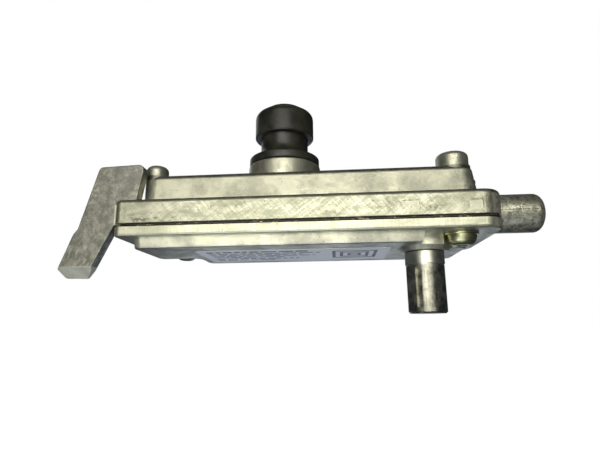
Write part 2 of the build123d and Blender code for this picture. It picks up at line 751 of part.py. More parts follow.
with BuildPart() as hold_open_knob:
    with BuildSketch(Plane(origin=(knob_x, case_y, 0), x_dir=(1, 0, 0), z_dir=(0, -1, 0))):
        with BuildLine():
            Polyline(
                (knob_bore, knob_bottom_z),
                (knob_skirt_radius - 0.3, knob_bottom_z),
                (knob_skirt_radius, knob_bottom_z + 0.3),
                (knob_skirt_radius, knob_rim_z - 0.4),
                (knob_skirt_radius - 0.3, knob_rim_z),
            )
            Spline(
                (knob_skirt_radius - 0.3, knob_rim_z),
                (knob_skirt_radius - 1.7, knob_rim_z + 1.4),
                (knob_waist_radius + 0.7, knob_rim_z + 2.6),
                (knob_waist_radius, knob_waist_z),
                tangents=((-0.3, 1), (0, 1)),
            )
            Polyline(
                (knob_waist_radius, knob_waist_z),
                (knob_waist_radius, knob_waist_z + 2.2),
                (knob_head_radius, knob_head_z),
                (knob_head_radius, knob_top_z - 3.8),
                (knob_head_radius - 0.8, knob_top_z - 2.6),
                (7.2, knob_top_z - 0.6),
                (5.9, knob_top_z),
                (0, knob_top_z),
                (0, pin_top_z + 0.1),
                (knob_bore, pin_top_z + 0.1),
                (knob_bore, knob_bottom_z),
            )
        make_face()
    revolve(axis=Axis((knob_x, case_y, 0), (0, 0, 1)))
hold_open_knob.part.label = "hold_open_knob"
export_step(hold_open_knob.part, "parts/hold_open_knob.step")


# ---------------------------------------------------------------- fasteners and trim
bolt_head_radius = 5.3
bolt_head_height = 3.9
screw_head_radius = 3.6
screw_head_height = 2.7

with BuildPart() as cover_bolt:
    with BuildSketch(Plane.XY.offset(cover_z - 0.05)):
        with Locations((bolt_x, bolt_y)):
            Circle(bolt_head_radius)
    extrude(amount=-bolt_head_height)
    fillet(faces().sort_by(Axis.Z)[0].edges(), radius=2.9)
    with BuildSketch(Plane.XY.offset(cover_z - 0.05)):
        with Locations((bolt_x, bolt_y)):
            Circle(2.5)
    extrude(amount=10.3)
    with BuildSketch(Plane.XY.offset(cover_z - bolt_head_height - 0.05)):
        with Locations((bolt_x, bolt_y)):
            RegularPolygon(1.9, 6)
    extrude(amount=2.2, mode=Mode.SUBTRACT)
cover_bolt.part.label = "cover_bolt"
export_step(cover_bolt.part, "parts/cover_bolt.step")

with BuildPart() as cover_screw:
    with BuildSketch(Plane.XY.offset(cover_z - 0.05)):
        with Locations((screw_x, screw_y)):
            Circle(screw_head_radius)
    extrude(amount=-screw_head_height)
    fillet(faces().sort_by(Axis.Z)[0].edges(), radius=1.2)
    with BuildSketch(Plane.XY.offset(cover_z - 0.05)):
        with Locations((screw_x, screw_y)):
            Circle(1.75)
    extrude(amount=10.3)
    with BuildSketch(Plane.XY.offset(cover_z - screw_head_height - 0.05)):
        with Locations((screw_x, screw_y)):
            Rectangle(3.6, 0.9)
            Rectangle(0.9, 3.6)
    extrude(amount=1.3, mode=Mode.SUBTRACT)
cover_screw.part.label = "cover_screw"
export_step(cover_screw.part, "parts/cover_screw.step")

with BuildPart() as filler_plug:
    with Locations((filler_x, filler_y, filler_z)):
        Sphere(filler_radius - seated)
filler_plug.part.label = "filler_plug"
export_step(filler_plug.part, "parts/filler_plug.step")

plate_x = -42.95
plate_y = 7.0
plate_length = 63.9
plate_width = 24.0

with BuildPart() as rating_plate:
    with BuildSketch(Plane.XY.offset(pad_z)):
        with Locations((plate_x, plate_y)):
            RectangleRounded(plate_length, plate_width, 0.8)
    extrude(amount=-0.2)
rating_plate.part.label = "rating_plate"
export_step(rating_plate.part, "parts/rating_plate.step")
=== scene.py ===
"""Looks of a compact door closer: cast case, sealing bead, knob, spindle, fasteners and label."""

import json
import logging
import math
import random
from dataclasses import dataclass
from enum import Enum

import bmesh
import bpy
from mathutils import Matrix, Vector, noise

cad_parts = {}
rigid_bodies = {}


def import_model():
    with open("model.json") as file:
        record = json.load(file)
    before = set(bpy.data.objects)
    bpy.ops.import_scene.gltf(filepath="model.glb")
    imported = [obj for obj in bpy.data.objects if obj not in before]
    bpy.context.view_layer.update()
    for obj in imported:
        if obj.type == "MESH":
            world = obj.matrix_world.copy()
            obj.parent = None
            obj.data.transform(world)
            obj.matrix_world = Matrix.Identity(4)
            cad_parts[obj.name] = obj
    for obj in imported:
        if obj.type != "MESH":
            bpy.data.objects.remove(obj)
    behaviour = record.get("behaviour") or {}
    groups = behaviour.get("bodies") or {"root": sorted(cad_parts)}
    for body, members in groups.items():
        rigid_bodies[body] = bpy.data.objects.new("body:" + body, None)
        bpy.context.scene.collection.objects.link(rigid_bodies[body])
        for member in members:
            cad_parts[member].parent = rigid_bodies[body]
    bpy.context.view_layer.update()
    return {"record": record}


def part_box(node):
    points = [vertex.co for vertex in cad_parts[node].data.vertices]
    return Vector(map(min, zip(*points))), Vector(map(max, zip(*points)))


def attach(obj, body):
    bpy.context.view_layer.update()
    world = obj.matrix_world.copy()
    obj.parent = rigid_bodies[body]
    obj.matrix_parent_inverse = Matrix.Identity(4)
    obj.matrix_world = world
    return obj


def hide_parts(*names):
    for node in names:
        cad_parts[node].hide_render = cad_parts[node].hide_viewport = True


LOG = logging.getLogger("door_closer")
MM = 0.001
TINY = 1e-6
SAME_PLACE = 1e-7
HEXAGON = 6

Colour = tuple[float, float, float]
Point = tuple[float, float]
Rectangle = tuple[Point, Point]


class Axis(Enum):
    """The three axes of the part's frame, by index."""

    X = 0
    Y = 1
    Z = 2


class Lay(Enum):
    """How far tool marks stretch along X, Y and Z: a small number draws them out that way."""

    EVEN = (1.0, 1.0, 1.0)
    RINGS_X = (1.0, 0.03, 0.03)
    RINGS_Y = (0.03, 1.0, 0.03)
    RINGS_Z = (0.03, 0.03, 1.0)
    DRAWN_X = (0.03, 1.0, 1.0)


# ------------------------------------------------------------------ shader nodes
class Graph:
    """Writes the shader nodes of one material on object coordinates."""

    def __init__(self, name: str) -> None:
        """Makes an empty material with one surface shader.

        Args:
            name: the material's name.
        """
        self.material = bpy.data.materials.new(name + "_finish")
        self.material.use_nodes = True
        self.nodes = self.material.node_tree.nodes
        self.links = self.material.node_tree.links
        self.shader = self.nodes["Principled BSDF"]
        self.place = self.nodes.new("ShaderNodeTexCoord").outputs["Object"]
        self.parts = self.nodes.new("ShaderNodeSeparateXYZ").outputs
        self.links.new(self.place, self.parts[0].node.inputs[0])

    def feed(self, socket: bpy.types.NodeSocket, value: object) -> None:
        """Links a socket to another socket, or gives it a constant.

        Args:
            socket: the input that is fed.
            value: an output socket, a number or a colour.
        """
        if isinstance(value, bpy.types.NodeSocket):
            self.links.new(value, socket)
        elif isinstance(value, tuple) and len(value) == 3 and socket.type == "RGBA":
            socket.default_value = (*value, 1.0)
        else:
            socket.default_value = value

    def sums(self, operation: str, first: object, second: object = 0.0) -> bpy.types.NodeSocket:
        """One step of arithmetic.

        Args:
            operation: the name of Blender's operation.
            first: the first number or socket.
            second: the second number or socket.

        Returns:
            The socket that holds the result.
        """
        node = self.nodes.new("ShaderNodeMath")
        node.operation = operation
        self.feed(node.inputs[0], first)
        self.feed(node.inputs[1], second)
        return node.outputs[0]

    def spread(
        self, value: object, low: float, high: float, start: float = 0.0, end: float = 1.0
    ) -> bpy.types.NodeSocket:
        """A smooth step of value from low to high, given out from start to end.

        Args:
            value: the socket that is read.
            low: where the step begins.
            high: where the step ends.
            start: what is given out at and below low.
            end: what is given out at and above high.

        Returns:
            The socket that holds the result.
        """
        node = self.nodes.new("ShaderNodeMapRange")
        node.interpolation_type = "SMOOTHSTEP"
        self.feed(node.inputs["Value"], value)
        self.feed(node.inputs["From Min"], low)
        self.feed(node.inputs["From Max"], high)
        self.feed(node.inputs["To Min"], start)
        self.feed(node.inputs["To Max"], end)
        return node.outputs[0]

    def past(self, axis: Axis, limit: float, soft: float = 0.15) -> bpy.types.NodeSocket:
        """A mask that is 1 beyond a place on an axis.

        Args:
            axis: the axis.
            limit: the place on it, in millimetres.
            soft: half the width of the mask's edge.

        Returns:
            The socket that holds the mask.
        """
        return self.spread(self.parts[axis.value], (limit - soft) * MM, (limit + soft) * MM)

    def before(self, axis: Axis, limit: float, soft: float = 0.15) -> bpy.types.NodeSocket:
        """A mask that is 1 short of a place on an axis, with the same arguments as past."""
        return self.spread(self.parts[axis.value], (limit - soft) * MM, (limit + soft) * MM, 1.0, 0.0)

    def both(self, *masks: bpy.types.NodeSocket) -> bpy.types.NodeSocket:
        """A mask that shows only where all the given masks do.

        Args:
            masks: the masks, each from 0 to 1.

        Returns:
            The socket that holds their product.
        """
        made = masks[0]
        for mask in masks[1:]:
            made = self.sums("MULTIPLY", made, mask)
        return made

    def faint(self, mask: bpy.types.NodeSocket, share: float) -> bpy.types.NodeSocket:
        """A mask at a share of its strength."""
        return self.sums("MULTIPLY", mask, share)

    def grain(
        self,
        size: float,
        detail: float = 4.0,
        rough: float = 0.6,
        lay: tuple[float, float, float] = Lay.EVEN.value,
        turn: tuple[float, float, float] = (0.0, 0.0, 0.0),
        wander: float = 0.0,
    ) -> bpy.types.NodeSocket:
        """Noise whose features are about size millimetres across.

        Args:
            size: the feature size in millimetres.
            detail: how many finer layers it has.
            rough: how strong the finer layers are.
            lay: the stretch along each axis.
            turn: the turn of the pattern, in degrees.
            wander: how much the pattern is bent.

        Returns:
            The socket that holds the noise, near 0.5 on average.
        """
        mapping = self.nodes.new("ShaderNodeMapping")
        mapping.inputs["Rotation"].default_value = [math.radians(a) for a in turn]
        mapping.vector_type = "TEXTURE"
        mapping.inputs["Scale"].default_value = [1.0 / share for share in lay]
        self.feed(mapping.inputs["Vector"], self.place)
        node = self.nodes.new("ShaderNodeTexNoise")
        self.feed(node.inputs["Vector"], mapping.outputs[0])
        node.inputs["Scale"].default_value = 1.0 / (size * MM)
        node.inputs["Detail"].default_value = detail
        node.inputs["Roughness"].default_value = rough
        node.inputs["Distortion"].default_value = wander
        return node.outputs[0]

    def pits(self, size: float, share: float) -> bpy.types.NodeSocket:
        """A mask of small round spots.

        Args:
            size: the spacing of the spots in millimetres.
            share: how far each spot reaches, as a share of the spacing.

        Returns:
            The socket that is 1 in a spot and 0 elsewhere.
        """
        node = self.nodes.new("ShaderNodeTexVoronoi")
        self.feed(node.inputs["Vector"], self.place)
        node.inputs["Scale"].default_value = 1.0 / (size * MM)
        return self.spread(node.outputs["Distance"], share * 0.5, share, 1.0, 0.0)

    def patch(
        self, across: Axis, up: Axis, limits: Rectangle, soft: float = 0.12
    ) -> bpy.types.NodeSocket:
        """A mask that is 1 in a rectangle.

        Args:
            across: the first axis.
            up: the second axis.
            limits: the rectangle's limits on the two axes, in millimetres.
            soft: half the width of the mask's edge.

        Returns:
            The socket that is 1 inside and 0 outside.
        """
        (left, right), (bottom, top) = limits
        return self.both(
            self.past(across, left, soft),
            self.before(across, right, soft),
            self.past(up, bottom, soft),
            self.before(up, top, soft),
        )

    def tint(self, mask: object, first: object, second: object) -> bpy.types.NodeSocket:
        """Goes from the first colour to the second as the mask goes from 0 to 1.

        Args:
            mask: the share of the second colour.
            first: the colour where the mask is 0.
            second: the colour where the mask is 1.

        Returns:
            The socket that holds the colour.
        """
        node = self.nodes.new("ShaderNodeMix")
        node.data_type = "RGBA"
        self.feed(node.inputs[0], mask)
        self.feed(node.inputs[6], first)
        self.feed(node.inputs[7], second)
        return node.outputs[2]

    def shift(self, mask: object, first: object, second: object) -> bpy.types.NodeSocket:
        """Goes from the first number to the second as the mask goes from 0 to 1.

        Args:
            mask: the share of the second number.
            first: the number where the mask is 0.
            second: the number where the mask is 1.

        Returns:
            The socket that holds the number.
        """
        node = self.nodes.new("ShaderNodeMix")
        self.feed(node.inputs[0], mask)
        self.feed(node.inputs[2], first)
        self.feed(node.inputs[3], second)
        return node.outputs[0]

    def relief(self, height: bpy.types.NodeSocket, depth: float, strength: float = 1.0) -> None:
        """Adds a layer of relief over the layers that the shader already has.

        Args:
            height: the socket with the height from 0 to 1.
            depth: the depth of the relief in millimetres.
            strength: the share of the relief that shows.
        """
        node = self.nodes.new("ShaderNodeBump")
        node.inputs["Distance"].default_value = depth * MM
        node.inputs["Strength"].default_value = strength
        self.feed(node.inputs["Height"], height)
        normal = self.shader.inputs["Normal"]
        if normal.is_linked:
            self.feed(node.inputs["Normal"], normal.links[0].from_socket)
        self.feed(normal, node.outputs[0])

    def finish(self, colour: object, roughness: object, metallic: float) -> bpy.types.Material:
        """Gives the shader its main values.

        Args:
            colour: the base colour.
            roughness: the roughness.
            metallic: 1 for bare metal and 0 for anything else.

        Returns:
            The finished material.
        """
        self.feed(self.shader.inputs["Base Color"], colour)
        self.feed(self.shader.inputs["Roughness"], roughness)
        self.shader.inputs["Metallic"].default_value = metallic
        return self.material


# ------------------------------------------------------------------ finishes
@dataclass(frozen=True)
class CastFinish:
    """Die-cast aluminium: satin skin with mottling, grain and pits, and a linished front edge.

    The places are in millimetres in the part's frame.
    """

    name: str
    light: Colour = (0.68, 0.68, 0.53)
    dark: Colour = (0.38, 0.38, 0.30)
    ground_light: Colour = (0.46, 0.46, 0.36)
    ground_dark: Colour = (0.25, 0.255, 0.185)
    # Dark dirt colour; also the painted shade on the top rounds and in the dents.
    grime_and_shade: Colour = (0.10, 0.10, 0.075)
    stain: Colour = (0.20, 0.195, 0.145)
    leg_light: Colour = (0.31, 0.31, 0.26)
    leg_dark: Colour = (0.165, 0.165, 0.14)
    scuff: Colour = (0.60, 0.60, 0.50)
    ground_y: float = -15.62
    leg_x: float = -98.5
    leg_y: float = -10.9
    leg_top_x: float = -89.0
    flange_top: float = 16.75
    box_top: float = 27.1
    foot_z: float = -4.4
    stub_x: float = 22.2
    right_shade_x: float = 9.0
    flange_round: Rectangle = ((15.2, 17.4), (-17.0, -13.8))
    box_round: Rectangle = ((25.4, 27.0), (-10.0, -5.8))
    pale_pad: Rectangle = ((-8.4, -3.4), (9.8, 13.4))
    grey_pad: Rectangle = ((11.3, 15.1), (10.1, 13.1))
    pad_corner: Rectangle = ((11.3, 12.6), (10.1, 11.6))
    rubbed: Rectangle = ((7.2, 10.6), (9.6, 13.2))
    smudged: Rectangle = ((-1.6, 3.2), (10.2, 11.7))
    dented: Rectangle = ((-94.0, -78.0), (8.9, 11.4))
    leg_scuffed: Rectangle = ((-107.0, -104.6), (18.5, 22.5))
    metallic: float = 0.84
    serrated: bool = False

    def skin(self, graph: Graph) -> bpy.types.NodeSocket:
        """Colour of the cast skin: broad mottling, finer blotches and dark pits, with painted shade
        towards the right end, above the top of the box and on the top rounds.

        Args:
            graph: the material's graph.

        Returns:
            The socket that holds the colour.
        """
        broad = graph.grain(14.0, detail=6.0, rough=0.62)
        fine = graph.grain(0.9, detail=5.0, rough=0.7)
        base = graph.tint(graph.spread(broad, 0.36, 0.60), self.dark, self.light)
        blotched = graph.tint(graph.spread(fine, 0.45, 0.75, 0.0, 0.35), base, self.light)
        stain = graph.spread(graph.grain(2.4, detail=7.0, rough=0.72, lay=(0.7, 1.0, 1.2)), 0.55, 0.72)
        stained = graph.tint(graph.faint(stain, 0.6), blotched, self.dark)
        # Painted shade towards the right end, laid on as mottled blotches in the stain colour.
        right_blotches = graph.spread(graph.grain(1.4, detail=7.0, rough=0.75), 0.50, 0.62, 0.0, 0.75)
        right_end = graph.past(Axis.X, self.right_shade_x, 9.0)
        worn = graph.tint(graph.both(right_blotches, right_end), stained, self.stain)
        speckled = graph.tint(graph.faint(graph.pits(2.6, 0.12), 0.5), worn, self.grime_and_shade)
        # Painted shade: everything above the top of the box, such as posts, stud and boss, is darkened.
        raised = graph.faint(graph.past(Axis.Z, self.box_top, 0.3), 0.75)
        shaded_above_box = graph.tint(raised, speckled, self.dark)
        # The top rounds get painted shade in the dirt colour.
        return graph.tint(self.shaded_top_rounds(graph), shaded_above_box, self.grime_and_shade)

    def shaded_top_rounds(self, graph: Graph) -> bpy.types.NodeSocket:
        """Painted shade: the upward-facing rounds along the top edges of the flange and of the box,
        darkened unevenly.

        Args:
            graph: the material's graph.

        Returns:
            The socket that holds the mask.
        """
        flange = graph.patch(Axis.Z, Axis.Y, self.flange_round, 0.2)
        box = graph.patch(Axis.Z, Axis.Y, self.box_round, 0.35)
        uneven = graph.spread(graph.grain(1.8, detail=6.0, rough=0.7), 0.35, 0.65, 0.72, 0.97)
        return graph.both(graph.sums("MAXIMUM", flange, box), uneven)

    def marks_on_edge(self, graph: Graph, colour: object) -> bpy.types.NodeSocket:
        """Witness pads, a rubbed patch, a smudge and dents drawn as painted shade on the ground front
        edge.

        Args:
            graph: the material's graph.
            colour: the colour of the edge without its marks.

        Returns:
            The colour with the marks.
        """
        broken = graph.spread(graph.grain(0.8, detail=5.0, rough=0.7), 0.42, 0.62)
        pale = graph.patch(Axis.X, Axis.Z, self.pale_pad)
        grey = graph.patch(Axis.X, Axis.Z, self.grey_pad)
        corner = graph.patch(Axis.X, Axis.Z, self.pad_corner, 0.4)
        rub = graph.patch(Axis.X, Axis.Z, self.rubbed, 0.7)
        smudge = graph.patch(Axis.X, Axis.Z, self.smudged, 0.6)
        colour = graph.tint(graph.faint(pale, 0.5), colour, self.ground_light)
        colour = graph.tint(graph.faint(grey, 0.8), colour, self.dark)
        colour = graph.tint(graph.both(corner, broken), colour, self.ground_light)
        colour = graph.tint(graph.faint(graph.both(rub, broken), 0.6), colour, self.dark)
        colour = graph.tint(graph.both(smudge, broken), colour, self.grime_and_shade)
        # Dents: painted shade, dark blobs in the dirt colour with no relief.
        dents = graph.both(
            graph.patch(Axis.X, Axis.Z, self.dented, 0.8),
            graph.spread(graph.grain(1.5, detail=4.0, rough=0.6, lay=(0.6, 1.0, 1.6)), 0.54, 0.62),
        )
        return graph.tint(graph.faint(dents, 0.8), colour, self.grime_and_shade)

    def scratches(self, graph: Graph) -> bpy.types.NodeSocket:
        """Fine belt marks: crossed slanting lines, or upright serration on the cover's edge.

        Args:
            graph: the material's graph.

        Returns:
            The socket that holds the marks, from 0 to 1.
        """
        if self.serrated:
            return graph.grain(0.22, detail=2.0, lay=(1.0, 1.0, 0.04))
        down = graph.grain(0.26, detail=3.0, lay=(1.0, 1.0, 0.05), turn=(0.0, 52.0, 0.0), wander=0.3)
        up = graph.grain(0.5, detail=3.0, lay=(1.0, 1.0, 0.06), turn=(0.0, -40.0, 0.0), wander=0.3)
        return graph.sums("MULTIPLY", down, graph.sums("MULTIPLY", up, 2.0))

    def leg_mask(self, graph: Graph) -> bpy.types.NodeSocket:
        """1 on the leg and 0 on the rest of the case.

        Args:
            graph: the material's graph.

        Returns:
            The socket that holds the mask.
        """
        low = graph.before(Axis.X, self.leg_x, 0.3)
        high = graph.both(
            graph.past(Axis.Z, self.flange_top, 0.1),
            graph.before(Axis.Y, self.leg_y, 0.05),
            graph.before(Axis.X, self.leg_top_x, 0.05),
        )
        return graph.sums("MAXIMUM", low, high)

    def material(self) -> bpy.types.Material:
        """Builds the material.

        Returns:
            The finished material.
        """
        graph = Graph(self.name)
        colour = self.skin(graph)
        marks = self.scratches(graph)
        ground = graph.before(Axis.Y, self.ground_y, 0.06)
        patches = graph.spread(graph.grain(5.0, detail=5.0, rough=0.65, lay=(0.5, 1.0, 1.6)), 0.35, 0.60)
        bright = graph.tint(patches, self.ground_dark, self.ground_light)
        lined = graph.tint(graph.spread(marks, 0.30, 0.75, 0.35, 0.95), self.ground_dark, bright)
        if not self.serrated:
            lined = self.marks_on_edge(graph, lined)
        colour = graph.tint(ground, colour, lined)
        leg = self.leg_mask(graph)
        colour = graph.tint(leg, colour, self.leg_skin(graph))
        stub = graph.past(Axis.X, self.stub_x, 0.2)
        stub_stain = graph.spread(graph.grain(1.3, detail=6.0, rough=0.72), 0.50, 0.60, 0.0, 0.6)
        colour = graph.tint(graph.both(stub, stub_stain), colour, self.grime_and_shade)
        cloud = graph.grain(3.0, detail=5.0)
        skin_rough = graph.spread(cloud, 0.3, 0.7, 0.36, 0.52)
        roughness = graph.shift(ground, skin_rough, graph.spread(marks, 0.3, 0.7, 0.46, 0.3))
        graph.relief(graph.grain(3.5, detail=3.0), 0.10)
        graph.relief(graph.grain(0.35, detail=4.0, rough=0.7), 0.035)
        graph.relief(graph.both(marks, ground), 0.03)
        graph.relief(graph.pits(3.1, 0.10), -0.05)
        return graph.finish(colour, roughness, self.metallic)

    def leg_skin(self, graph: Graph) -> bpy.types.NodeSocket:
        """The darker skin of the leg, with scuffs, a worn lower half and a bright rubbed foot.

        Args:
            graph: the material's graph.

        Returns:
            The socket that holds the colour.
        """
        worn = graph.spread(graph.grain(2.6, detail=7.0, rough=0.72), 0.40, 0.66)
        skin = graph.tint(worn, self.leg_dark, self.leg_light)
        fleck = graph.spread(graph.grain(0.6, detail=5.0, rough=0.7), 0.56, 0.70, 0.0, 0.6)
        skin = graph.tint(fleck, skin, self.leg_dark)
        strokes = graph.grain(0.9, detail=5.0, lay=(1.0, 1.0, 0.25), turn=(0.0, 22.0, 0.0))
        rub = graph.both(graph.spread(strokes, 0.48, 0.62), graph.before(Axis.Z, 3.0, 5.0))
        skin = graph.tint(graph.faint(rub, 0.45), skin, self.scuff)
        white = graph.both(
            graph.patch(Axis.X, Axis.Z, self.leg_scuffed, 0.9),
            graph.spread(graph.grain(1.8, detail=5.0), 0.40, 0.65),
        )
        skin = graph.tint(graph.faint(white, 0.6), skin, self.scuff)
        foot = graph.before(Axis.Z, self.foot_z, 0.3)
        return graph.tint(graph.faint(foot, 0.9), skin, self.light)


@dataclass(frozen=True)
class MetalFinish:
    """A machined, drawn or plated metal with tool marks and stains."""

    name: str
    light: Colour
    dark: Colour
    lay: Lay = Lay.EVEN
    rough_low: float = 0.22
    rough_high: float = 0.42
    mark_size: float = 0.35
    mark_depth: float = 0.02
    metallic: float = 1.0

    def material(self) -> bpy.types.Material:
        """Builds the material.

        Returns:
            The finished material.
        """
        graph = Graph(self.name)
        marks = graph.grain(self.mark_size, detail=4.0, lay=self.lay.value)
        stain = graph.grain(4.5, detail=6.0, rough=0.65)
        fleck = graph.grain(0.5, detail=5.0, rough=0.75)
        base = graph.tint(graph.spread(marks, 0.3, 0.7), self.dark, self.light)
        stained = graph.tint(graph.spread(stain, 0.5, 0.75, 0.0, 0.55), base, self.dark)
        colour = graph.tint(graph.spread(fleck, 0.6, 0.72, 0.0, 0.4), stained, self.light)
        roughness = graph.spread(stain, 0.3, 0.7, self.rough_low, self.rough_high)
        graph.relief(marks, self.mark_depth)
        graph.relief(fleck, self.mark_depth * 0.5)
        return graph.finish(colour, roughness, self.metallic)


@dataclass(frozen=True)
class SpindleFinish:
    """Turned steel with fine rings, drawn scuffs, brown handling stains and a pale rubbed collar."""

    name: str = "spindle_steel"
    light: Colour = (0.48, 0.47, 0.39)
    dark: Colour = (0.20, 0.20, 0.16)
    collar: Colour = (0.72, 0.71, 0.60)
    stain: Colour = (0.10, 0.095, 0.07)
    collar_z: float = -4.6

    def material(self) -> bpy.types.Material:
        """Builds the material.

        Returns:
            The finished material.
        """
        graph = Graph(self.name)
        rings = graph.grain(0.5, detail=3.0, lay=Lay.RINGS_Z.value)
        drawn = graph.grain(0.6, detail=5.0, rough=0.65, lay=(1.0, 1.0, 0.10))
        cloud = graph.grain(3.0, detail=6.0, rough=0.65)
        base = graph.tint(graph.spread(cloud, 0.35, 0.65), self.dark, self.light)
        scuffed = graph.tint(graph.spread(drawn, 0.52, 0.70, 0.0, 0.6), base, self.collar)
        stained = graph.tint(graph.spread(drawn, 0.30, 0.44, 0.40, 0.0), scuffed, self.stain)
        band = graph.both(graph.past(Axis.Z, self.collar_z, 0.1), graph.before(Axis.Z, 0.2, 0.1))
        colour = graph.tint(graph.faint(band, 0.7), stained, self.collar)
        roughness = graph.spread(cloud, 0.3, 0.7, 0.30, 0.46)
        graph.relief(rings, 0.006)
        graph.relief(drawn, 0.02)
        return graph.finish(colour, roughness, 1.0)


@dataclass(frozen=True)
class SoftFinish:
    """A moulded plastic, rubber, sealant or paper surface."""

    name: str
    light: Colour
    dark: Colour
    rough_low: float = 0.4
    rough_high: float = 0.6
    grain_size: float = 0.4
    grain_depth: float = 0.02
    coat: float = 0.0

    def material(self) -> bpy.types.Material:
        """Builds the material.

        Returns:
            The finished material.
        """
        graph = Graph(self.name)
        cloud = graph.grain(6.0, detail=6.0, rough=0.6)
        fine = graph.grain(self.grain_size, detail=4.0, rough=0.7)
        base = graph.tint(graph.spread(cloud, 0.35, 0.65), self.dark, self.light)
        colour = graph.tint(graph.spread(fine, 0.55, 0.75, 0.0, 0.3), base, self.light)
        roughness = graph.spread(cloud, 0.3, 0.7, self.rough_low, self.rough_high)
        graph.relief(fine, self.grain_depth)
        self.scuffs(graph)
        graph.shader.inputs["Coat Weight"].default_value = self.coat
        return graph.finish(colour, roughness, 0.0)

    def scuffs(self, graph: Graph) -> None:
        """Adds the faint handling marks that soft surfaces pick up."""
        graph.relief(graph.grain(1.6, detail=3.0, lay=(1.0, 1.0, 0.2)), self.grain_depth)


@dataclass(frozen=True)
class SealantFinish:
    """Cured anaerobic sealant: near black, with painted glints as amber flecks of colour."""

    name: str = "sealant"
    dark: Colour = (0.012, 0.009, 0.005)
    amber_glint: Colour = (0.78, 0.62, 0.34)

    def material(self) -> bpy.types.Material:
        """Builds the material.

        Returns:
            The finished material.
        """
        graph = Graph(self.name)
        fleck = graph.spread(graph.grain(1.5, detail=5.0, rough=0.7, lay=(0.45, 1.0, 2.6)), 0.58, 0.66)
        # Amber flecks: painted glints in the sealant's amber, smoother where they lie.
        colour = graph.tint(fleck, self.dark, self.amber_glint)
        graph.relief(graph.grain(0.5, detail=4.0), 0.08)
        return graph.finish(colour, graph.spread(fleck, 0.0, 1.0, 0.35, 0.14), 0.0)


class Finishes:
    """Every finish of the object, made once."""

    def __init__(self) -> None:
        """Builds all materials."""
        metal = MetalFinish
        soft = SoftFinish
        paper = {"rough_low": 0.3, "rough_high": 0.5, "grain_size": 0.25, "grain_depth": 0.006}
        printed = {"rough_low": 0.35, "rough_high": 0.5, "grain_size": 0.2, "grain_depth": 0.004}
        moulded = {"rough_low": 0.36, "rough_high": 0.52, "grain_size": 0.3, "grain_depth": 0.02}
        made = [
            CastFinish("cast_upper"),
            CastFinish(
                "cast_cover",
                ground_light=(0.57, 0.57, 0.44),
                ground_dark=(0.38, 0.385, 0.285),
                serrated=True,
                leg_x=-200.0,
                leg_top_x=-200.0,
            ),
            SealantFinish(),
            metal("bronze", (0.62, 0.44, 0.22), (0.36, 0.24, 0.11), Lay.RINGS_Y),
            metal("honed_steel", (0.50, 0.51, 0.52), (0.30, 0.31, 0.32), Lay.RINGS_X),
            metal("machined_aluminium", (0.70, 0.71, 0.72), (0.50, 0.51, 0.52), Lay.RINGS_X),
            metal("spring_steel", (0.32, 0.32, 0.33), (0.14, 0.14, 0.15), Lay.EVEN, 0.25, 0.4),
            metal("yellow_zinc", (0.66, 0.65, 0.40), (0.36, 0.37, 0.19), Lay.RINGS_Z, 0.28, 0.45),
            metal("zinc_plate", (0.52, 0.53, 0.42), (0.30, 0.31, 0.22), Lay.EVEN, 0.25, 0.45),
            metal("bright_steel", (0.80, 0.80, 0.80), (0.55, 0.55, 0.56), Lay.EVEN, 0.08, 0.2),
            SpindleFinish(),
            metal("rack_steel", (0.46, 0.47, 0.48), (0.26, 0.27, 0.28), Lay.DRAWN_X),
            soft("seal_rubber", (0.03, 0.03, 0.03), (0.015, 0.015, 0.015)),
            soft("label", (0.84, 0.85, 0.80), (0.72, 0.73, 0.70), **paper, coat=0.3),
            soft("ring_plastic", (0.74, 0.72, 0.64), (0.60, 0.58, 0.50)),
            soft("knob_black", (0.030, 0.029, 0.019), (0.010, 0.010, 0.007), **moulded),
            soft("ink", (0.07, 0.07, 0.08), (0.03, 0.03, 0.035), **printed),
        ]
        self.made = {finish.name: finish.material() for finish in made}

    def __getitem__(self, name: str) -> bpy.types.Material:
        """The material of that name."""
        return self.made[name]


# ------------------------------------------------------------------ mesh helpers
def new_piece(
    name: str, mesh: bmesh.types.BMesh, material: bpy.types.Material, corner: float = 32.0
) -> bpy.types.Object:
    """Turns a bmesh into a shaded object at the origin.

    Args:
        name: the object's name.
        mesh: the finished bmesh, in metres in the part's frame; it is freed here.
        material: the finish.
        corner: the angle in degrees above which an edge stays sharp.

    Returns:
        The new object.
    """
    bmesh.ops.remove_doubles(mesh, verts=mesh.verts, dist=SAME_PLACE)
    bmesh.ops.recalc_face_normals(mesh, faces=mesh.faces)
    data = bpy.data.meshes.new(name)
    mesh.to_mesh(data)
    mesh.free()
    data.materials.append(material)
    data.shade_smooth()
    data.set_sharp_from_angle(angle=math.radians(corner))
    piece = bpy.data.objects.new(name, data)
    bpy.context.scene.collection.objects.link(piece)
    return piece


def turned(mesh: bmesh.types.BMesh, profile: list[Point], centre: Vector, steps: int) -> None:
    """Turns a closed or open profile of (radius, height) in millimetres round an upright axis.

    Args:
        mesh: the bmesh that receives the shape.
        profile: radius from the axis and height in the part's frame.
        centre: a point on the axis.
        steps: faces round the full turn.
    """
    verts = [mesh.verts.new((centre.x + r * MM, centre.y, z * MM)) for r, z in profile]
    edges = [mesh.edges.new(pair) for pair in zip(verts, verts[1:])]
    bmesh.ops.spin(
        mesh,
        geom=verts + edges,
        cent=centre,
        axis=(0, 0, 1),
        angle=math.tau,
        steps=steps,
        use_merge=True,
    )


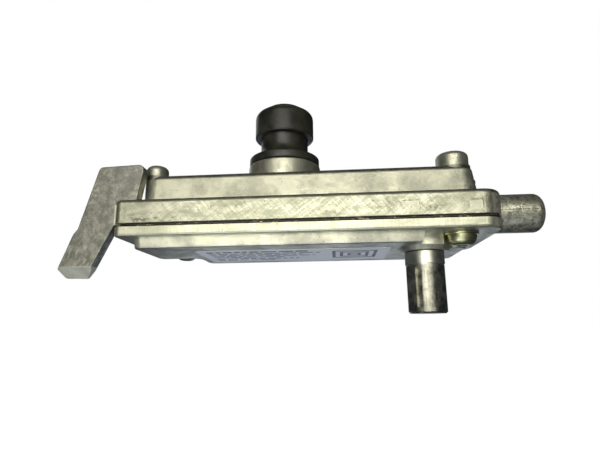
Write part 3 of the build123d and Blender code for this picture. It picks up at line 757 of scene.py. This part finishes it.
def arc(centre: Point, radius: float, start: float, end: float, count: int = 6) -> list[Point]:
    """Points along an arc in a turned profile.

    Args:
        centre: the arc's centre, as radius and height.
        radius: the arc's radius.
        start: the first angle in degrees.
        end: the last angle in degrees.
        count: how many steps it takes.

    Returns:
        The points, both ends included.
    """
    step = (end - start) / count
    angles = [math.radians(start + step * i) for i in range(count + 1)]
    return [(centre[0] + radius * math.cos(a), centre[1] + radius * math.sin(a)) for a in angles]


def middle(node: str) -> Vector:
    """The middle of a CAD node's box at rest, in metres."""
    low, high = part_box(node)
    return (low + high) / 2


# ------------------------------------------------------------------ sub-assemblies
@dataclass
class Knob:
    """The black pull knob: flared skirt, narrow waist and a round-shouldered head.

    Radii come first, then heights over the knob's foot, then the rounds of its edges, all in
    millimetres.
    """

    finishes: Finishes
    bore: float = 2.02
    waist: float = 8.5
    head: float = 10.6
    skirt: float = 12.5
    crown: float = 5.9
    rim: float = 2.8
    waist_start: float = 6.6
    waist_end: float = 10.6
    head_start: float = 11.1
    head_end: float = 18.6
    foot_round: float = 0.3
    rim_round: float = 0.5
    lip_round: float = 0.25
    shoulder_round: float = 2.6
    crown_round: float = 1.3
    flare_steps: int = 10
    steps: int = 128

    def profile(self, bottom: float, top: float, pin_top: float) -> list[Point]:
        """The knob's section from its bore round the outside to the axis and back.

        Args:
            bottom: the height of the knob's foot in the part's frame, in millimetres.
            top: the height of its crown.
            pin_top: the height of the blind end of its bore.

        Returns:
            The section's points as radius and height.
        """
        foot, rim, shoulder = self.foot_round, self.rim_round, self.shoulder_round
        side_end = bottom + self.head_end - 0.4
        outline = [(self.bore, bottom), (self.skirt - foot, bottom)]
        outline += arc((self.skirt - foot, bottom + foot), foot, -90, 0, 4)
        outline += arc((self.skirt - rim, bottom + self.rim - rim), rim, 0, 75, 5)
        drop = self.waist_start - self.rim
        run = self.skirt - 0.45 - self.waist
        for step in range(1, self.flare_steps + 1):
            angle = math.radians(90 / self.flare_steps * step)
            reach = self.waist + run * (1 - math.sin(angle))
            outline.append((reach, bottom + self.rim + drop * (1 - math.cos(angle))))
        outline += [
            (self.waist, bottom + self.waist_end - 0.4),
            (self.waist + 0.15, bottom + self.waist_end),
            (self.head - self.lip_round, bottom + self.head_start - 0.3),
            (self.head, bottom + self.head_start + 0.1),
            (self.head, side_end),
        ]
        outline += arc((self.head - shoulder, side_end), shoulder, 8, 48, 6)
        outline += arc((self.crown, top - self.crown_round), self.crown_round, 50, 90, 6)
        return [*outline, (0.0, top), (0.0, pin_top), (self.bore, pin_top)]

    def build(self) -> bpy.types.Object:
        """Builds the knob in the plain knob's place.

        Returns:
            The knob, riding on the plunger.
        """
        low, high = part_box("hold_open_knob")
        _, pin_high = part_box("plunger_pin")
        mesh = bmesh.new()
        outline = self.profile(low.z / MM, high.z / MM, pin_high.z / MM + 0.1)
        turned(mesh, [*outline, outline[0]], middle("hold_open_knob"), self.steps)
        piece = new_piece("knob", mesh, self.finishes["knob_black"], 28.0)
        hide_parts("hold_open_knob")
        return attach(piece, "plunger")


@dataclass
class ScrewHead:
    """A head that hangs under the cover, with a hexagon or cross recess, and its threaded shank.

    Lengths are in millimetres. The seat is the face under the head, just below the cover. The
    shares are parts of the shank's radius, the recess or the thread's pitch.
    """

    node: str
    finish: str
    radius: float
    dome: float
    rim: float
    recess: float
    recess_sides: int
    recess_depth: float
    shank: float
    pitch: float
    finishes: Finishes
    seat_z: float = 4.6
    edge: float = 0.15
    rim_round: float = 0.3
    plain_shank: float = 2.6
    root_share: float = 0.9
    tip_share: float = 0.75
    star_share: float = 0.36
    mouth_share: float = 1.12
    crest_share: float = 0.12
    tip_clear: float = 0.6
    tip_taper: float = 0.5
    steps: int = 96

    def head_profile(self, bottom: float, seat: float) -> list[Point]:
        """The head's section from the recess mouth out to the seat.

        Args:
            bottom: the lowest height of the head, in millimetres.
            seat: the height of the face under the head.

        Returns:
            The section's points as radius and height.
        """
        mouth = self.recess * self.mouth_share
        rise = seat - bottom - self.rim
        dome = [(mouth, bottom)]
        span = self.dome - mouth
        for index in range(1, 11):
            angle = math.radians(90 * index / 10)
            dome.append((mouth + span * math.sin(angle), bottom + rise * (1 - math.cos(angle))))
        turn = self.rim_round
        rim = arc((self.radius - turn, bottom + rise + turn), turn, -90, 0, 3)
        return [*dome, *rim, (self.radius, seat - self.edge), (self.radius - self.edge, seat)]

    def shank_profile(self, seat: float, end: float) -> list[Point]:
        """The shank's section, with a thread of rings from under the head to its chamfered end.

        Args:
            seat: the height of the face under the head, in millimetres.
            end: the height of the shank's end.

        Returns:
            The section's points as radius and height.
        """
        height = seat + self.plain_shank
        crest = self.crest_share * self.pitch
        root = self.shank * self.root_share
        points = [(self.shank, seat), (self.shank, height)]
        while height + self.pitch < end - self.tip_clear:
            points.append((self.shank, height + crest))
            points.append((root, height + 0.5 * self.pitch))
            height += self.pitch
            points.append((self.shank, height - crest))
        tip = [(root, end - self.tip_taper), (self.shank * self.tip_share, end), (0.0, end)]
        return [*points, *tip]

    def cut_recess(self, mesh: bmesh.types.BMesh, centre: Vector, bottom: float) -> None:
        """Closes the head's middle with a recess that opens downwards.

        Args:
            mesh: the head's bmesh, still open in the middle.
            centre: a point on the screw's axis.
            bottom: the height of the recess's mouth, in millimetres.
        """
        open_edges = [e for e in mesh.edges if e.is_boundary]
        mouth = [e for e in open_edges if all(abs(v.co.z - bottom * MM) < TINY for v in e.verts)]
        turn = Matrix.Translation((centre.x, centre.y, bottom * MM))
        radius = self.recess * MM
        ring = bmesh.ops.create_circle(mesh, segments=self.recess_sides, radius=radius, matrix=turn)
        rim_edges = {e for v in ring["verts"] for e in v.link_edges}
        if self.recess_sides > HEXAGON:
            quarter = self.recess_sides // 4
            for index, vert in enumerate(ring["verts"]):
                if index % quarter == quarter // 2:
                    inner = Vector((centre.x, centre.y, vert.co.z))
                    vert.co = inner.lerp(vert.co, self.star_share)
        bmesh.ops.bridge_loops(mesh, edges=mouth + list(rim_edges))
        walls = bmesh.ops.extrude_edge_only(mesh, edges=list(rim_edges))
        floor = [v for v in walls["geom"] if isinstance(v, bmesh.types.BMVert)]
        grown = [e for e in walls["geom"] if isinstance(e, bmesh.types.BMEdge)]
        rim = [e for e in grown if all(v in floor for v in e.verts)]
        bmesh.ops.translate(mesh, verts=floor, vec=(0, 0, self.recess_depth * MM))
        bmesh.ops.contextual_create(mesh, geom=rim)

    def build(self) -> bpy.types.Object:
        """Builds the screw in the plain screw's place.

        Returns:
            The screw, riding on the case.
        """
        low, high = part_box(self.node)
        centre = middle(self.node)
        seat = self.seat_z
        mesh = bmesh.new()
        turned(mesh, self.head_profile(low.z / MM, seat), centre, self.steps)
        turned(mesh, [(self.radius - self.edge, seat), (self.shank, seat)], centre, self.steps)
        turned(mesh, self.shank_profile(seat, high.z / MM), centre, self.steps)
        bmesh.ops.remove_doubles(mesh, verts=mesh.verts, dist=SAME_PLACE)
        self.cut_recess(mesh, centre, low.z / MM)
        piece = new_piece(self.node + "_detailed", mesh, self.finishes[self.finish], 30.0)
        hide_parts(self.node)
        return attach(piece, "case")


@dataclass
class SealantBead:
    """The irregular bead of sealant that was squeezed into the joint all round the case."""

    finishes: Finishes
    setback: float = 1.05
    thickness: float = 0.52
    corner: float = 4.0
    spacing: float = 0.6
    mean_share: float = 0.88
    waver_share: float = 0.22
    slow_waver: float = 260.0
    fast_waver: float = 900.0
    ripple: float = 1500.0
    ripple_depth: float = 0.12

    def outline(self, low: Vector, high: Vector) -> list[Vector]:
        """Points round the joint, set back from the case's outline.

        Args:
            low: the lowest corner of the case's joint, in metres.
            high: its highest corner.

        Returns:
            The path's points at its four round corners, in order.
        """
        inset = self.setback * MM
        radius = self.corner * MM
        left, right = low.x + inset + radius, high.x - inset - radius
        front, back = low.y + inset + radius, high.y - inset - radius
        height = (low.z + high.z) / 2
        points = []
        corners = ((right, front, -90), (right, back, 0), (left, back, 90), (left, front, 180))
        for x, y, start in corners:
            for across, along in arc((x, y), radius, start, start + 90, 8):
                points.append(Vector((across, along, height)))
        return points

    def build(self) -> bpy.types.Object:
        """Builds the bead as a swept tube with a wavering thickness.

        Returns:
            The bead, riding on the case.
        """
        low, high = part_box("casing_gasket")
        cover_low, cover_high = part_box("lower_cover")
        outer_low = Vector((cover_low.x, cover_low.y, low.z))
        outer_high = Vector((cover_high.x, cover_high.y, high.z))
        curve = bpy.data.curves.new("sealant_path", "CURVE")
        curve.dimensions = "3D"
        curve.bevel_depth = self.thickness * MM
        curve.bevel_resolution = 3
        corners = self.outline(outer_low, outer_high)
        dense = []
        for first, second in zip(corners, corners[1:] + corners[:1]):
            count = max(1, round((second - first).length / (self.spacing * MM)))
            dense += [first.lerp(second, step / count) for step in range(count)]
        spline = curve.splines.new("POLY")
        spline.points.add(len(dense) - 1)
        for point, place in zip(spline.points, dense):
            waver = noise.noise(place * self.slow_waver) + 0.6 * noise.noise(place * self.fast_waver)
            point.co = (*place, 1.0)
            point.radius = self.mean_share + self.waver_share * waver
        spline.use_cyclic_u = True
        holder = bpy.data.objects.new("sealant_path", curve)
        bpy.context.scene.collection.objects.link(holder)
        solved = holder.evaluated_get(bpy.context.evaluated_depsgraph_get())
        data = bpy.data.meshes.new_from_object(solved)
        bpy.data.objects.remove(holder)
        mesh = bmesh.new()
        mesh.from_mesh(data)
        for vert in mesh.verts:
            vert.co.y += self.ripple_depth * MM * noise.noise(vert.co * self.ripple)
        piece = new_piece("sealant_bead", mesh, self.finishes["sealant"], 60.0)
        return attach(piece, "case")


@dataclass
class Label:
    """The stuck-on label: rows of plain bars and a square of nested frames, with no lettering.

    Each row is its distance from the front edge, its height and the place where it ends. The
    frames are placed by the outermost one's corner, and lengths are in millimetres.
    """

    finishes: Finishes
    corner: float = 0.8
    ink_depth: float = 0.02
    ink_overlap: float = 0.004
    frame_corner: Point = (45.0, 4.2)
    frame_size: float = 15.0
    frame_step: float = 2.6
    frame_line: float = 1.1
    frame_count: int = 3
    bar_start: float = 3.0
    bar_shortest: float = 1.2
    bar_longest: float = 5.5
    bar_gap: float = 0.9
    seed: int = 4
    rows: tuple[tuple[float, float, float], ...] = (
        (2.0, 1.8, 37.0),
        (5.6, 1.0, 41.0),
        (8.2, 1.0, 35.0),
        (10.8, 1.0, 39.0),
        (13.4, 1.0, 28.0),
        (16.6, 1.4, 33.0),
        (20.0, 1.0, 24.0),
    )

    def slab(self, mesh: bmesh.types.BMesh, low: Vector, high: Vector, corner: float = 0.0) -> None:
        """A flat slab with rounded upright corners.

        Args:
            mesh: the bmesh that receives the slab.
            low: its lowest corner.
            high: its highest corner.
            corner: the corner radius in millimetres.
        """
        size = high - low
        place = Matrix.Translation((low + high) / 2) @ Matrix.Diagonal((*size, 1.0))
        made = bmesh.ops.create_cube(mesh, size=1.0, matrix=place)
        if corner:
            edges = {e for v in made["verts"] for e in v.link_edges}
            upright = [e for e in edges if abs(e.verts[0].co.z - e.verts[1].co.z) > size.z / 2]
            bmesh.ops.bevel(
                mesh,
                geom=upright,
                offset=corner * MM,
                segments=6,
                affect="EDGES",
                profile=0.5,
                material=-1,
            )

    def build_plate(self) -> bpy.types.Object:
        """Builds the label's film in the plain plate's place.

        Returns:
            The film, riding on the case.
        """
        low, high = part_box("rating_plate")
        mesh = bmesh.new()
        self.slab(mesh, low, high, self.corner)
        piece = new_piece("label_film", mesh, self.finishes["label"], 40.0)
        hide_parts("rating_plate")
        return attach(piece, "case")

    def build_print(self) -> bpy.types.Object:
        """Builds the printed bars and frames, a hair under the film.

        Returns:
            The print, riding on the case.
        """
        low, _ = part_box("rating_plate")
        top = low.z + self.ink_overlap * MM
        bottom = low.z - self.ink_depth * MM
        mesh = bmesh.new()

        def ink(left: float, front: float, width: float, depth: float) -> None:
            """Prints a rectangle, placed from the label's front left corner in millimetres."""
            start = Vector((low.x + left * MM, low.y + front * MM, bottom))
            end = Vector((low.x + (left + width) * MM, low.y + (front + depth) * MM, top))
            self.slab(mesh, start, end)

        choice = random.Random(self.seed)
        for front, tall, run in self.rows:
            left = self.bar_start
            while left < run:
                width = choice.uniform(self.bar_shortest, self.bar_longest)
                ink(left, front, min(width, run - left), tall)
                left += width + self.bar_gap
        line = self.frame_line
        for ring in range(self.frame_count):
            inset = self.frame_step * ring
            side = self.frame_size - 2 * inset
            left, front = (edge + inset for edge in self.frame_corner)
            ink(left, front, side, line)
            ink(left, front + side - line, side, line)
            ink(left, front + line, line, side - 2 * line)
            ink(left + side - line, front + line, line, side - 2 * line)
        piece = new_piece("label_print", mesh, self.finishes["ink"], 40.0)
        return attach(piece, "case")


@dataclass
class CastSeams:
    """Thin raised seams that the die halves leave on the stub and the leg, in millimetres."""

    finishes: Finishes
    height: float = 0.09
    width: float = 0.28
    rooted: float = 0.05
    stub_z: float = 13.5
    stub_radius: float = 6.6
    stub_shoulder: float = 0.75
    stub_rounding: float = 2.8
    leg_ends: Point = (-109.4, -105.2)
    leg_z: float = 11.0
    leg_setback: float = 1.5

    def ridge(self, mesh: bmesh.types.BMesh, start: Vector, end: Vector, outward: Vector) -> None:
        """Adds a low ridge that stands out from a surface.

        Args:
            mesh: the bmesh that receives the ridge.
            start: the ridge's first end, on the surface.
            end: its other end.
            outward: the way the surface faces.
        """
        along = (end - start).normalized()
        side = along.cross(outward).normalized() * (self.width / 2 * MM)
        peak = outward.normalized() * (self.height * MM)
        base = outward.normalized() * (-self.rooted * MM)
        ring = [mesh.verts.new(start + offset) for offset in (side + base, peak, base - side)]
        face = mesh.faces.new(ring)
        grown = bmesh.ops.extrude_face_region(mesh, geom=[face], use_keep_orig=True)
        moved = [v for v in grown["geom"] if isinstance(v, bmesh.types.BMVert)]
        bmesh.ops.translate(mesh, verts=moved, vec=end - start)

    def build(self) -> bpy.types.Object:
        """Builds the seams as one piece.

        Returns:
            The seams, riding on the case.
        """
        _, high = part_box("upper_casting")
        cover_low, cover_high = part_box("lower_cover")
        centre_y = (cover_low.y + cover_high.y) / 2
        root_x = cover_high.x + self.stub_shoulder * MM
        tip_x = high.x - self.stub_rounding * MM
        mesh = bmesh.new()
        for side in (-1, 1):
            seam_y = centre_y + side * self.stub_radius * MM
            start, end = (Vector((x, seam_y, self.stub_z * MM)) for x in (root_x, tip_x))
            self.ridge(mesh, start, end, Vector((0, side, 0)))
        leg_front = cover_low.y + self.leg_setback * MM
        start, end = (Vector((x * MM, leg_front, self.leg_z * MM)) for x in self.leg_ends)
        self.ridge(mesh, start, end, Vector((0, -1, 0)))
        piece = new_piece("cast_seams", mesh, self.finishes["cast_upper"], 20.0)
        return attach(piece, "case")


@dataclass
class CarriedNodes:
    """The CAD nodes that keep their shape and take a finish."""

    finishes: Finishes
    record: dict

    def dress(self) -> None:
        """Gives every CAD node the finish that its record slot names."""
        for part in self.record["subparts"]:
            node = bpy.data.objects[part["node"]]
            material = self.finishes[part["material_slot"]]
            if not node.material_slots:
                node.data.materials.append(material)
            for slot in node.material_slots:
                slot.material = material
            LOG.info("dressed %s in %s", node.name, material.name)


# ------------------------------------------------------------------ studio
@dataclass(frozen=True)
class Lamp:
    """A soft rectangular light that faces the middle of the case, in metres and watts."""

    name: str
    place: tuple[float, float, float]
    size: Point
    power: float
    colour: Colour
    target: tuple[float, float, float] = (-0.035, 0.006, 0.015)

    def build(self) -> None:
        """Makes the light, unseen by the camera itself."""
        data = bpy.data.lights.new(self.name, "AREA")
        data.shape = "RECTANGLE"
        data.size, data.size_y = self.size
        data.energy = self.power
        data.color = self.colour
        holder = bpy.data.objects.new(self.name, data)
        holder.visible_camera = False
        ahead = Vector(self.target) - Vector(self.place)
        aim = ahead.to_track_quat("-Z", "Y").to_matrix().to_4x4()
        holder.matrix_world = Matrix.Translation(self.place) @ aim
        bpy.context.scene.collection.objects.link(holder)


@dataclass
class Studio:
    """Camera, lights, pale floor and background.

    The camera's place is in millimetres, its angles in degrees and the floor's height in metres.
    """

    camera_place: tuple[float, float, float] = (-28.53, -148.07, -23.21)
    yaw: float = 4.63
    pitch: float = 12.7
    roll: float = 0.55
    lens: float = 27.0
    floor_z: float = -0.30
    floor_size: float = 40.0
    lamps: tuple[Lamp, ...] = (
        Lamp("key", (-0.03, -0.87, 0.30), (0.84, 0.26), 5.0, (1.0, 0.97, 0.88)),
        Lamp("front", (-0.18, -0.80, -0.06), (0.38, 0.26), 1.4, (1.0, 0.98, 0.90)),
        Lamp("low", (-0.10, -0.24, -0.30), (0.30, 0.30), 0.9, (0.84, 0.88, 1.0)),
        Lamp("under", (-0.03, 0.75, -0.20), (0.70, 0.30), 0.6, (0.78, 0.85, 1.0)),
        Lamp("back", (-0.50, 0.70, 0.45), (0.50, 0.50), 1.0, (0.97, 0.98, 1.0)),
        Lamp("top", (-0.10, 0.20, 0.95), (0.60, 0.60), 0.25, (0.96, 0.98, 1.0)),
    )

    def camera(self) -> bpy.types.Object:
        """Makes the scene's camera.

        Returns:
            The camera.
        """
        yaw, pitch, roll = (math.radians(a) for a in (self.yaw, self.pitch, self.roll))
        right = Vector((math.cos(yaw), math.sin(yaw), 0.0))
        level = Vector((-math.sin(yaw), math.cos(yaw), 0.0))
        ahead = level * math.cos(pitch) + Vector((0.0, 0.0, math.sin(pitch)))
        above = right.cross(ahead)
        across = right * math.cos(roll) - above * math.sin(roll)
        upward = right * math.sin(roll) + above * math.cos(roll)
        data = bpy.data.cameras.new("camera")
        data.lens = self.lens
        data.sensor_width = 36.0
        data.clip_start = 0.005
        holder = bpy.data.objects.new("camera", data)
        turn = Matrix((across, upward, -ahead)).transposed()
        holder.matrix_world = Matrix.Translation(Vector(self.camera_place) * MM) @ turn.to_4x4()
        bpy.context.scene.collection.objects.link(holder)
        bpy.context.scene.camera = holder
        return holder

    def background(self) -> None:
        """A white surround for the eye that is dim as a light."""
        world = bpy.data.worlds.new("surround")
        world.use_nodes = True
        bpy.context.scene.world = world
        nodes, links = world.node_tree.nodes, world.node_tree.links
        nodes.clear()
        seen = nodes.new("ShaderNodeBackground")
        seen.inputs["Color"].default_value = (1.0, 1.0, 1.0, 1.0)
        dim = nodes.new("ShaderNodeBackground")
        dim.inputs["Color"].default_value = (0.030, 0.034, 0.042, 1.0)
        path = nodes.new("ShaderNodeLightPath")
        mix = nodes.new("ShaderNodeMixShader")
        out = nodes.new("ShaderNodeOutputWorld")
        links.new(path.outputs["Is Camera Ray"], mix.inputs[0])
        links.new(dim.outputs[0], mix.inputs[1])
        links.new(seen.outputs[0], mix.inputs[2])
        links.new(mix.outputs[0], out.inputs["Surface"])

    def floor(self) -> bpy.types.Object:
        """Makes the pale floor, far enough below to leave the underside open to view.

        Returns:
            The floor, which is part of the stage and not of the object.
        """
        mesh = bmesh.new()
        place = Matrix.Translation((0.0, 0.0, self.floor_z))
        bmesh.ops.create_grid(mesh, x_segments=1, y_segments=1, size=self.floor_size, matrix=place)
        graph = Graph("floor")
        graph.shader.inputs["Emission Color"].default_value = (1.0, 1.0, 1.0, 1.0)
        graph.shader.inputs["Emission Strength"].default_value = 1.0
        shade = graph.spread(graph.grain(400.0), 0.0, 1.0, 0.55, 0.6)
        material = graph.finish((0.9, 0.9, 0.9), shade, 0.0)
        floor = new_piece("floor", mesh, material)
        floor.visible_diffuse = False
        floor.visible_glossy = False
        return floor

    def build(self) -> None:
        """Makes the whole studio."""
        self.camera()
        for lamp in self.lamps:
            lamp.build()
        self.background()
        self.floor()
        bpy.context.scene.view_settings.view_transform = "Standard"


def main() -> None:
    """Builds the closer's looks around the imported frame."""
    logging.basicConfig(level=logging.INFO, format="%(message)s")
    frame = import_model()
    finishes = Finishes()
    CarriedNodes(finishes, frame["record"]).dress()
    label = Label(finishes)
    bolt = ScrewHead(
        node="cover_bolt",
        finish="yellow_zinc",
        radius=5.3,
        dome=4.7,
        rim=0.75,
        recess=1.9,
        recess_sides=6,
        recess_depth=2.2,
        shank=2.5,
        pitch=0.8,
        finishes=finishes,
    )
    screw = ScrewHead(
        node="cover_screw",
        finish="zinc_plate",
        radius=3.6,
        dome=3.3,
        rim=1.1,
        recess=1.8,
        recess_sides=16,
        recess_depth=1.3,
        shank=1.75,
        pitch=0.6,
        finishes=finishes,
    )
    builders = (
        Knob(finishes).build,
        bolt.build,
        screw.build,
        SealantBead(finishes).build,
        label.build_plate,
        label.build_print,
        CastSeams(finishes).build,
    )
    for builder in builders:
        piece = builder()
        LOG.info("built %s: %d faces", piece.name, len(piece.data.polygons))
    Studio().build()


if __name__ == "__main__":
    main()
